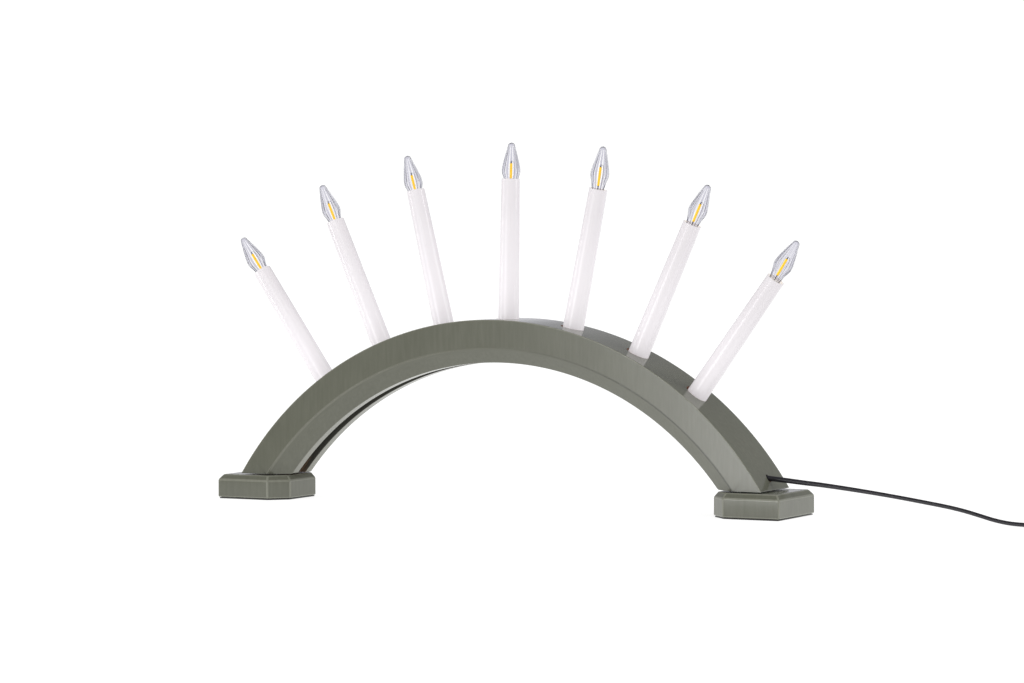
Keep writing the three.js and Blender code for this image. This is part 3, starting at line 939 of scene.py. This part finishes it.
def make_cord():
    free = [cord_exit - cord_axis * cord_hidden, cord_exit - cord_axis * cord_hidden / 2, cord_exit]
    free += [Vector((cord_exit.x + reach, 0, height)) for reach, height in cord_route]
    free += [Vector((coil_start.x - cord_diameter, 0, coil_height)), coil_start]
    line = smooth_line(free, 8)
    coiled = coil_layers * coil_turns * turn_length
    total = coiled + tail_straight + tail_fall + cord_diameter + gap + cord_in_boot
    steps = round(coil_points * total / turn_length)
    line += [coil_spot(total * step / steps) for step in range(steps + 1)]
    cord = stroke("cord", [line], cord_radius, 4)
    for knot in cord.data.splines[0].points:
        away = max(knot.co.x - cord_exit.x, 0) / cord_swell_reach
        knot.radius = 1 + cord_swell * max(1 - away, 0)
    paint_with(cord, cord_sheath)
    fit(cord, "black_cord", "cord_free", "cord_coil")


def make_tie():
    """A flat band with rounded corners round the coiled cord, on the side away from its ends."""
    side = gap + cord_radius + tie_thickness
    sag = coil_inner - math.sqrt(coil_inner ** 2 - (tie_width / 2) ** 2)
    inner = coil_outer + coil_inner - side - sag
    outer = coil_outer + coil_outer + side
    top = coil_height + (coil_layers - 1) * coil_step + side
    x = coil_start.x + cord_diameter - tie_width / 2
    corners = [(x, inner, 0), (x, outer, 0), (x, outer, top), (x, inner, top), (x, inner, 0)]
    tie = outline("cord_band", corners)
    weld()
    bpy.ops.mesh.bevel(affect="VERTICES", offset=tie_corner, segments=4)
    pick_all()
    draw_out((tie_width, 0, 0))
    close_seams()
    apply(tie, "SOLIDIFY", thickness=tie_thickness, offset=-1, use_even_offset=True)
    soften(tie, tie_soft_edge, 2)
    smooth(tie)
    paint_with(tie, plug_moulding)
    return fit(tie, "black_plastic", "cord_tie")


def lay_in_plug(piece, x, y=0):
    """Lays an upright piece along X at the middle height of the plug."""
    put(piece, Matrix.Translation((x, y, plug_height / 2)) @ Matrix.Rotation(math.pi / 2, 4, "Y"))


def make_plug():
    """Flat plug with finger hollows above and below, and a ribbed boot."""
    half = plug_width / 2
    back = plug_start + boot_length
    front = plug_start + plug_length
    nose = plug_nose / 2
    plan = [
        (back, -nose, 0), (front - plug_straight, -half, 0), (front, -half, 0), (front, half, 0),
        (front - plug_straight, half, 0), (back, nose, 0), (back, -nose, 0),
    ]
    body = prism("plug", plan, (0, 0, plug_height))
    soften(body, plug_soft_edge, 5)
    for way in (-1, 1):
        pick(body, "FACE", lambda face: face.normal.z * way > 0.99 and abs(face.center.y) < half * 0.6)
        bpy.ops.mesh.inset(thickness=hollow_margin, depth=0)
        bpy.ops.mesh.inset(thickness=hollow_edge, depth=-hollow_depth)
        done()
    bore = cord_radius + gap / 3
    end = boot_length + plug_soft_edge
    cord_end = cord_in_boot + gap
    profile = [(bore, 0)]
    step = boot_length / boot_ribs
    for rib in range(boot_ribs):
        radius = boot_radius + (boot_end_radius - boot_radius) * rib / boot_ribs
        low = radius - rib_depth
        flat, drop, foot = [(rib + share) * step for share in rib_shares]
        profile += [(radius, rib * step), (radius, flat), (low, drop), (low, foot)]
    profile += [(boot_end_radius, boot_length), (boot_end_radius, end), (0, end), (0, cord_end),
                (bore, cord_end), (bore, 0)]
    boot = turned("boot", profile, 32)
    soften(boot, boot_soft_edge, 2)
    lay_in_plug(boot, plug_start)
    plug = joined("plug", [body, boot])
    smooth(plug)
    paint_with(plug, plug_moulding)
    return fit(plug, "black_plastic", "plug_body")


def make_plug_pin(name, side):
    """Round pin, sleeved in plastic over its first half."""
    thin = plug_pin_radius - pin_sleeve_step
    length = plug_pin_length
    profile = [(0, 0), (thin, 0), (thin, pin_sleeve), (plug_pin_radius, pin_sleeve + pin_sleeve_slope),
               (plug_pin_radius, length - pin_point), (plug_pin_radius * 0.8, length - pin_point_end),
               (plug_pin_radius * 0.45, length), (0, length)]
    pin = turned(name, profile, 32)
    base = plug_start + plug_length + gap
    lay_in_plug(pin, base, side * plug_pin_apart / 2)
    smooth(pin)
    paint_with(pin, steel, plug_moulding, which=lambda face: face.center.x < base + pin_sleeve)
    return fit(pin, "steel", "plug_pin_front" if side < 0 else "plug_pin_back")


# Bow and feet


def round_off(before, corner, after, steps):
    """Points of a curve that rounds off a corner."""
    shares = [step / steps for step in range(steps + 1)]
    return [before * (1 - t) ** 2 + corner * 2 * t * (1 - t) + after * t ** 2 for t in shares]


def rounded(corners):
    """A closed outline with each corner rounded off by a curve that starts its own distance away."""
    line = []
    for number, (radius, y, start_at) in enumerate(corners):
        corner = Vector((radius, y))
        before = Vector(corners[number - 1][:2])
        after = Vector(corners[(number + 1) % len(corners)][:2])
        a = corner + (before - corner).normalized() * start_at
        b = corner + (after - corner).normalized() * start_at
        line += round_off(a, corner, b, edge_steps) if start_at else [corner]
    return [*line, line[0]]


def bow_section(angle):
    """Flat outer face and sides, a small step, sloped inner bands, and lips beside the wiring groove."""
    half = bow_depth / 2
    crease = inner_radius + slope_band
    below = crease - crease_below
    sunk = crease_below * slope_inset / slope_band
    roof = inner_radius + groove_depth
    lip = half - slope_inset
    side = groove_width / 2
    back = [
        (bow_radius, half, bow_soft_edge), (crease + crease_above, half, 0),
        (crease, half, crease_soft_edge), (crease, half - crease_step, 0), (below, half - sunk, 0),
        (inner_radius, lip, lip_soft_edge), (inner_radius, side, lip_soft_edge), (roof, side, 0),
    ]
    front = [(radius, -y, start_at) for radius, y, start_at in reversed(back)]
    return [on_bow(spot.x, angle, spot.y) for spot in rounded([*back, *front])]


def hole_cutter():
    """All drilled holes of the bow: candle holes with their wire holes, and the cord's."""
    depth = -sleeve_sunk - gap
    profile = [(0, -bow_band), (wire_hole_radius, -bow_band), (wire_hole_radius, depth),
               (hole_radius, depth), (hole_radius, bow_band), (0, bow_band)]
    first = turned("candle_hole", profile)
    aside = Matrix.Translation((-hole_aside, 0, 0))
    holes = [put(copy_of(first, "candle_hole_twin"), candle_place(candle) @ aside) for candle in candles]
    bpy.data.objects.remove(first)
    reach = 2 * bow_band
    profile = [(0, 0), (cord_hole_radius, 0), (cord_hole_radius, reach), (0, reach)]
    bore = turned("cord_hole", profile, 32)
    turn = cord_axis.to_track_quat("Z", "Y").to_matrix().to_4x4()
    put(bore, Matrix.Translation(cord_inlet) @ turn)
    cutter = joined("drilled_holes", [*holes, bore])
    paint_with(cutter, bare_wood)
    return cutter


def end_cutter(side, radius, length, inward):
    """A wedge across the depth of the bow that rounds off one corner of its end."""
    corner = bow_point(radius, bow_end)
    up = Vector((bow_centre - bow_end, 0, corner.x)).normalized() * length
    along = Vector((inward * length, 0, 0))
    below = corner - along - Vector((0, 0, length))
    line = [*round_off(corner + up, corner, corner + along, end_round_steps), below, corner + up]
    front = Vector((0, bow_depth, 0))
    wedge = prism("end_cutter", [point - front for point in line], 2 * front)
    paint_with(wedge, paint)
    return put(wedge, Matrix.Rotation(math.pi, 4, "Z")) if side < 0 else wedge


def from_centre(spot):
    return math.hypot(spot.x, spot.z - bow_centre)


def in_groove(spot):
    roof = inner_radius + groove_depth + gap
    return abs(spot.y) < groove_width / 2 + gap and from_centre(spot) < roof


def in_crease(spot, play=0):
    out = from_centre(spot) - inner_radius - slope_band
    on_side = abs(spot.y) > bow_depth / 2 - slope_inset / 2
    return on_side and -crease_below - play < out < crease_above + play


def on_top(spot):
    return from_centre(spot) > bow_radius - on_face


def at_edge(spot):
    """On the outer edges, or on the lips beside the groove, which get the paler paint of a painted
    highlight.
    """
    out = from_centre(spot)
    on_edge = out > bow_radius - bow_soft_edge and abs(spot.y) > bow_depth / 2 - bow_soft_edge
    return on_edge or out < inner_radius + on_face


def bow_finish(face):
    """Number of the finish of a face of the bow."""
    spot = face.center
    # Faces in the groove: wood darkened with painted shade of the recess
    if in_groove(spot):
        return 1
    # Faces along the crease carry the painted highlight and shade
    if in_crease(spot):
        return 2
    if on_top(spot):
        return 3
    # Edges and lips take the paler paint of a painted highlight
    return 4 if at_edge(spot) else 0


def make_bow():
    bow = outline("bow", bow_section(-bow_sweep / 2))
    pick_all()
    bpy.ops.mesh.spin(steps=bow_steps, angle=-bow_sweep, center=(0, 0, bow_centre), axis=(0, 1, 0))
    weld()
    pick_all()
    bpy.ops.mesh.bisect(plane_co=(0, 0, bow_end + end_lift), plane_no=(0, 0, 1), use_fill=True,
                        clear_inner=True)
    close_seams()
    paint_with(bow, paint, groove_shade_and_wood_finish, crease_light_shade_finish, top_paint, edge_highlight_paint, which=bow_finish)
    pick(bow, "VERT", lambda point: in_crease(point.co, gap))
    bpy.ops.transform.resize(value=(crease_spread, 1, 1), center_override=(0, 0, 0))
    done()
    for side, end_round_inner in ((-1, end_round_inner_left), (1, end_round_inner_right)):
        cut(bow, end_cutter(side, inner_radius, end_round_inner, 1))
        cut(bow, end_cutter(side, bow_radius, end_round_outer, -1))
    cut(bow, hole_cutter())
    smooth_edges(bow)
    fit(bow, "painted_wood", "arch")


def foot_block(name, side, inset, bottom, top):
    """A block with its two inner corners cut at 45 degrees."""
    outer = foot_outer - inset
    inner = foot_inner + inset
    half = foot_depth / 2 - inset
    corner = foot_corner - inset * (2 - math.sqrt(2))
    block = start(name, bpy.ops.mesh.primitive_cube_add, size=1)
    edit()
    bpy.ops.transform.resize(value=(outer - inner, 2 * half, top - bottom))
    bpy.ops.transform.translate(value=(side * (outer + inner) / 2, 0, (top + bottom) / 2))
    for end in (-1, 1):
        pick_all()
        bpy.ops.mesh.bisect(plane_co=(side * (inner + corner), end * half, 0), plane_no=(-side, end, 0),
                            use_fill=True, clear_outer=True)
    close_seams()
    return block


def make_foot(name, side):
    foot = foot_block(name, side, 0, pad_height + gap, foot_top - foot_slope_height)
    pick(foot, "FACE", lambda face: face.normal.z > 0.9)
    bpy.ops.mesh.inset(thickness=foot_slope, depth=foot_slope_height)
    done()
    paint_with(foot, paint, edge_highlight_paint)
    # The rounded edges of the foot take the paler paint of a painted highlight
    soften(foot, foot_soft_edge, 3, 20, material=1)
    smooth_edges(foot)
    fit(foot, "painted_wood", "left_foot" if side < 0 else "right_foot")


def make_pad(name, side):
    pad = foot_block(name, side, pad_inset, 0, pad_height)
    soften(pad, pad_soft_edge, 2)
    smooth(pad)
    paint_with(pad, pad_felt)
    fit(pad, "dark_felt", "left_pad" if side < 0 else "right_pad")


# Candles


def mark_own_place(piece):
    """Stores each point's place in the upright piece, so that flow lines follow it wherever it leans."""
    marks = piece.data.attributes.new("own_place", "FLOAT_VECTOR", "POINT")
    for spot, mark in zip(piece.data.vertices, marks.data):
        mark.vector = spot.co


def faces_in(face):
    return face.normal.x * face.center.x + face.normal.y * face.center.y < 0


def sleeve_shape():
    foot_bore = sleeve_foot_radius - sleeve_wall
    profile = [
        (foot_bore, -sleeve_sunk), (sleeve_foot_radius, -sleeve_sunk), (sleeve_foot_radius, 0),
        (sleeve_top_radius, sleeve_height), (sleeve_bore, sleeve_height),
        (sleeve_bore, sleeve_height - sleeve_straight), (foot_bore, 0), (foot_bore, -sleeve_sunk),
    ]
    sleeve = turned("sleeve", profile)
    soften(sleeve, sleeve_soft_edge, 3, 50)
    smooth(sleeve)
    mark_own_place(sleeve)
    paint_with(sleeve, white_plastic, inside_plastic, which=faces_in)
    return sleeve


def in_holder(face):
    out = math.hypot(face.center.x, face.center.y)
    return out < holder_bore + thread_height and face.center.z > holder_floor


def lampholder_shape(tilt):
    """Plastic shell of a lampholder, slimmer where it tilts, with a threaded metal bore."""
    outside = holder_radius - holder_reach * math.sin(abs(math.radians(tilt)))
    profile = [(pin_hole, holder_bottom), (outside, holder_bottom), (outside, holder_top),
               (holder_bore, holder_top)]
    turns = int((holder_top - holder_floor) / thread_pitch) - 1
    for turn in range(turns):
        crest = holder_top - (turn + 0.5) * thread_pitch
        profile += [(holder_bore, crest), (holder_bore + thread_height, crest - thread_pitch / 4),
                    (holder_bore, crest - thread_pitch / 2)]
    profile += [(holder_bore, holder_floor), (pin_hole, holder_floor), (pin_hole, holder_bottom)]
    holder = turned("lampholder", profile, 48)
    smooth(holder)
    mark_own_place(holder)
    paint_with(holder, ivory_plastic, brass, which=in_holder)
    return holder


def contact_shape():
    under = holder_floor + gap
    profile = [(0, contact_end), (pin_radius, contact_end), (pin_radius, under), (contact_radius, under),
               (contact_radius, -2 * gap), (contact_radius * 0.8, -gap), (0, -gap)]
    contact = turned("contact", profile, 32)
    smooth(contact)
    paint_with(contact, brass)
    return contact


def cap_shape():
    """Screw cap: solder contact, insulator, shell with a wound thread, and a plastic-topped collar."""
    shell = cap_radius - gap - thread_height
    collar = cap_height - collar_height
    eased = cap_height - collar_soft_edge
    profile = [(0, 0), (contact_radius * 0.7, 0), (contact_radius, solder_height),
               (shell * 0.82, cap_height * 0.17), (shell, cap_height * 0.24), (shell, collar),
               (cap_radius, collar), (cap_radius, eased), (cap_radius - collar_soft_edge, cap_height),
               (0, cap_height)]
    cap = turned("cap", profile, 48)
    half = thread_pitch / 3
    low = cap_height * 0.28
    root = shell - thread_sunk
    ridge = outline("ridge", [(root, 0, low), (shell + thread_height, 0, low + half),
                              (root, 0, low + 2 * half), (root, 0, low)])
    close_seams()
    apply(ridge, "SCREW", angle=2 * math.pi, screw_offset=thread_pitch, iterations=2, steps=32,
          render_steps=32, axis="Z")
    edit()
    bpy.ops.mesh.select_all(action="DESELECT")
    bpy.ops.mesh.select_non_manifold(extend=False, use_wire=False, use_multi_face=False, use_verts=False)
    bpy.ops.mesh.edge_face_add()
    close_seams()
    cap = joined("cap", [cap, ridge])
    smooth(cap)
    mark_own_place(cap)
    paint_with(cap, nickel, ivory_plastic, which=lambda face: face.center.z > eased)
    return cap


def glass_outline():
    """Smooth outline of the glass from neck to tip."""
    turning = [(neck_radius, 0, glass_bottom), (sleeve_bore - 2 * gap, 0, rim_height),
               (glass_radius, 0, widest_height)]
    turning += [(glass_radius * wide, 0, widest_height + flame_height * up) for wide, up in flame_shares]
    turning.append((0, 0, bulb_length))
    return [(max(point.x, 0), point.z) for point in smooth_line(turning, flute_rows)]


def flute_run(height):
    """Flutes are deepest at half height, and run out at the neck and at the tip."""
    return math.sin(math.pi * (height - glass_bottom) / (bulb_length - glass_bottom))


def mark_flutes(flame):
    """Stores how far each point lies from a ridge between two flutes, for the tint of the glass."""
    marks = flame.data.attributes.new("flute", "FLOAT", "POINT")
    for spot, mark in zip(flame.data.vertices, marks.data):
        angle = math.atan2(spot.co.y, spot.co.x)
        ridge = 0.5 + 0.5 * math.cos(flutes * angle)
        mark.value = 1 - ridge * min(1, (bulb_length - spot.co.z) / tip_height)


def glass_shape():
    """Clear flame of even thickness, with flutes."""
    rows = glass_outline()
    columns = flutes * flute_columns
    flame = turned("flame", rows, columns)
    for radius, height in rows[1:-1]:
        full = flute_depth * flute_smoothing * flute_run(height)
        for phase in range(1, flute_columns // 2 + 1):
            depth = full * (0.5 - 0.5 * math.cos(2 * math.pi * phase / flute_columns))
            keep = 1 - depth / radius

            def in_flute(point):
                spot = point.co
                column = round(math.atan2(spot.y, spot.x) / (2 * math.pi) * columns) % flute_columns
                on_row = abs(spot.z - height) < 10 * same_point
                return on_row and min(column, flute_columns - column) == phase

            pick(flame, "VERT", in_flute)
            bpy.ops.transform.resize(value=(keep, keep, 1), center_override=(0, 0, height))
            done()
    apply(flame, "SUBSURF", levels=2, render_levels=2)
    apply(flame, "SOLIDIFY", thickness=glass_wall, offset=-1, use_even_offset=True)
    mark_flutes(flame)
    smooth(flame, 60)
    paint_with(flame, glass)
    return flame


def off_coating(face):
    return not stick_bottom - same_point < face.center.z < stick_top + same_point


def stick_shape():
    """Coated stick with a bare metal end at its top and bottom."""
    thin = stick_radius * 0.55
    eased = stick_radius * 0.9
    low = stick_bottom - stick_tip
    high = stick_top + stick_tip
    profile = [(0, low), (thin, low), (thin, stick_bottom), (eased, stick_bottom),
               (stick_radius, stick_bottom + stick_tip / 2), (stick_radius, stick_top - stick_tip / 2),
               (eased, stick_top), (thin, stick_top), (thin, high), (0, high)]
    stick = turned("stick", profile, 20)
    smooth(stick)
    paint_with(stick, coating, dark_wire, which=off_coating)
    return stick


def wire_shape():
    """Leads at the two ends of the stick, and the thin wire over its top and down beside it."""
    leads = [
        [(0, 0, glass_bottom), (0, 0, stick_bottom)],
        [(0, 0, stick_top), (0, 0, wire_top - lead_radius)],
    ]
    over = [
        (0, 0, wire_top - 2 * lead_radius), (wire_aside * 0.5, 0, wire_top - 2 * lead_radius),
        (wire_aside * 0.9, 0, stick_top), (wire_aside, 0, (stick_top + stick_bottom) / 2),
        (wire_aside * 0.9, 0, stick_bottom), (wire_aside * 0.8, 0, glass_bottom),
    ]
    thick = as_mesh(stroke("stick_leads", leads, lead_radius, 2))
    thin = as_mesh(stroke("stick_wire", [smooth_line(over, 6)], wire_radius, 1))
    wires = joined("stick_wires", [thick, thin])
    edit()
    close_seams()
    smooth(wires)
    paint_with(wires, dark_wire)
    return wires


def make_candles():
    sleeve = sleeve_shape()
    contact = contact_shape()
    cap = cap_shape()
    flame = glass_shape()
    stick = stick_shape()
    wires = wire_shape()
    parts = [
        (contact, "contact", "contact", "nickel", "centre_contact"),
        (cap, "cap", "bulb", "nickel", "bulb_cap"),
        (flame, "flame", "bulb", "clear_glass", "bulb_glass"),
        (stick, "stick", "bulb", "yellow_coating", "bulb_filament"),
    ]
    for number, candle in enumerate(candles, 1):
        place = bulb_place(candle)
        stand = put(copy_of(sleeve, f"sleeve_{number}"), candle_place(candle))
        fit(stand, "white_plastic", f"candle_sleeve_{number}")
        holder = put(lampholder_shape(candle[2]), place)
        holder.name = f"holder_{number}"
        fit(holder, "white_plastic", f"lampholder_{number}")
        for pattern, name, body, slot, node in parts:
            piece = put(copy_of(pattern, f"{name}_{number}"), place)
            fit(piece, slot, f"{node}_{number}", body=f"{body}_{number}")
        lead = put(copy_of(wires, f"stick_wires_{number}"), place)
        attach(lead, f"bulb_{number}")
    for pattern in (sleeve, contact, cap, flame, stick, wires):
        bpy.data.objects.remove(pattern)


def make_loom():
    """Two wires side by side along the groove, and a pair up each candle to its lampholder."""
    first = candle_angle(candles[0][0]) - loom_overrun / loom_arc
    last = math.atan2(cord_inlet.x, cord_inlet.z - bow_centre)
    angles = [first + (last - first) * step / loom_steps for step in range(loom_steps + 1)]
    runs = [[on_bow(loom_arc, angle, side * loom_wire) for angle in angles] for side in (-1, 1)]
    mains = as_mesh(stroke("loom_mains", runs, loom_wire, 2))
    pairs = []
    for candle in candles:
        place = candle_place(candle)
        top = sleeve_height - rim_height + candle[3] + contact_end - gap
        for side in (-1, 1):
            ends = [loom_arc - bow_radius, top / 2, top]
            pairs.append([place @ Vector((0, side * branch_wire, height)) for height in ends])
    branches = as_mesh(stroke("loom_branches", pairs, branch_wire, 2))
    ends = [cord_inlet, cord_exit - cord_axis * (cord_hidden + gap)]
    lead = as_mesh(stroke("loom_lead", [ends], cord_radius, 3))
    loom = joined("loom", [mains, branches, lead])
    edit()
    close_seams()
    smooth(loom)
    paint_with(loom, cord_sheath)
    fit(loom, "black_cord", "wiring_loom")


def dress_screws():
    for side in ("left", "right"):
        for end in ("front", "back"):
            paint_with(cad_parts[f"{side}_foot_screw_{end}"], steel)


bpy.context.scene.view_settings.view_transform = "Standard"
bpy.context.scene.cycles.transparent_max_bounces = glass_walls_in_line
set_camera()
plug_and_tie = [make_plug(), make_tie()]
plug_pins = [make_plug_pin("plug_pin_near", -1), make_plug_pin("plug_pin_far", 1)]
make_cord()
set_light()
set_floor()
make_bow()
make_foot("foot_left", -1)
make_foot("foot_right", 1)
make_pad("pad_left", -1)
make_pad("pad_right", 1)
make_candles()
make_loom()
dress_screws()
